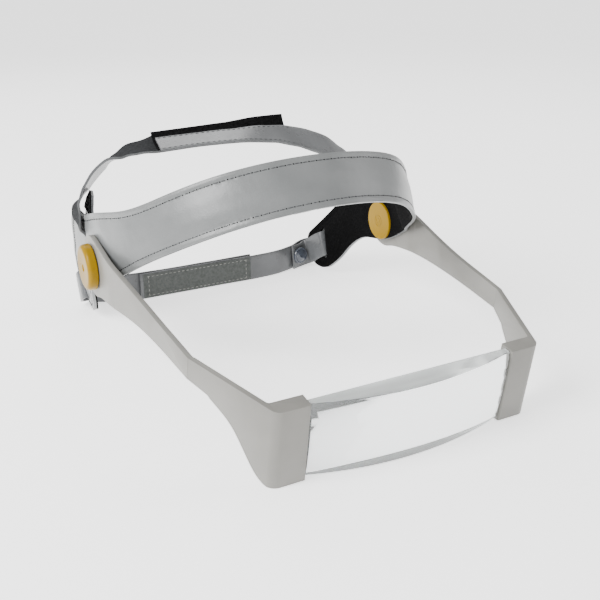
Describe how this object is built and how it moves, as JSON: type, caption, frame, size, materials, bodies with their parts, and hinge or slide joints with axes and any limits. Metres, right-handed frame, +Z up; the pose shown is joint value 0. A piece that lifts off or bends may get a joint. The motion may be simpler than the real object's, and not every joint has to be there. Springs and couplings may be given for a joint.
{
  "type": "head visor magnifier",
  "caption": "Head-worn magnifier: padded grey headband with crown and rear straps, yellow pivot knobs and a tilting visor frame holding a wide clear lens.",
  "frame": {"origin": "on the surface the magnifier stands on, under the middle of its box", "axes": "+Z up, the wearer looks along -Y, +X to the right as seen from the front"},
  "size_m": [0.1748, 0.2245, 0.1037],
  "materials": {
    "band_skin": "satin",
    "stiffener": "matte",
    "band_lining": "matte",
    "yellow_plastic": "gloss",
    "zinc_steel": "satin",
    "bush_plastic": "matte",
    "fibre": "matte",
    "insert_brass": "satin",
    "arm_plastic": "satin",
    "clear_lens": "polished",
    "strap_vinyl": "satin",
    "patch_fabric": "matte",
    "hook_loop_tape": "matte",
    "snap_cap": "gloss",
    "snap_metal": "satin"
  },
  "bodies": {
    "headband": {"band_skin": "band_skin", "band_stiffener": "stiffener", "band_lining": "band_lining", "right_inner_disc": "yellow_plastic", "left_inner_disc": "yellow_plastic", "right_pivot_bolt": "zinc_steel", "left_pivot_bolt": "zinc_steel", "right_pivot_bush": "bush_plastic", "left_pivot_bush": "bush_plastic", "right_fibre_washer": "fibre", "left_fibre_washer": "fibre", "rear_strap_right": "strap_vinyl", "rear_strap_left": "strap_vinyl", "crown_strap_right": "strap_vinyl", "crown_strap_left": "strap_vinyl", "rear_strap_patch": "patch_fabric", "rear_loop_tape": "hook_loop_tape", "rear_hook_tape": "hook_loop_tape", "crown_loop_tape": "hook_loop_tape", "crown_hook_tape": "hook_loop_tape", "crown_keeper_tapes": "hook_loop_tape", "rear_snap_caps": "snap_cap", "rear_snap_studs": "snap_metal"},
    "visor": {"right_arm": "arm_plastic", "left_arm": "arm_plastic", "right_spring_washer": "zinc_steel", "left_spring_washer": "zinc_steel"},
    "lens": {"lens_plate": "clear_lens"},
    "right_knob": {"right_pivot_knob": "yellow_plastic", "right_knob_insert": "insert_brass"},
    "left_knob": {"left_pivot_knob": "yellow_plastic", "left_knob_insert": "insert_brass"}
  },
  "joints": [
    {"name": "visor_tilt", "type": "hinge", "parent": "headband", "child": "visor", "pos_m": [0, 0.0381, 0.0456], "axis": [-1, 0, 0], "range_deg": [-10, 85]},
    {"name": "lens_slide", "type": "slide", "parent": "visor", "child": "lens", "axis": [0, 0.1323, -0.9912], "range_m": [0, 0.036]},
    {"name": "right_knob_turn", "type": "hinge", "parent": "headband", "child": "right_knob", "pos_m": [0.0852, 0.0381, 0.0456], "axis": [1, 0, 0], "range_deg": [-180, 45]},
    {"name": "left_knob_turn", "type": "hinge", "parent": "headband", "child": "left_knob", "pos_m": [-0.0852, 0.0381, 0.0456], "axis": [-1, 0, 0], "range_deg": [-180, 45]}
  ]
}
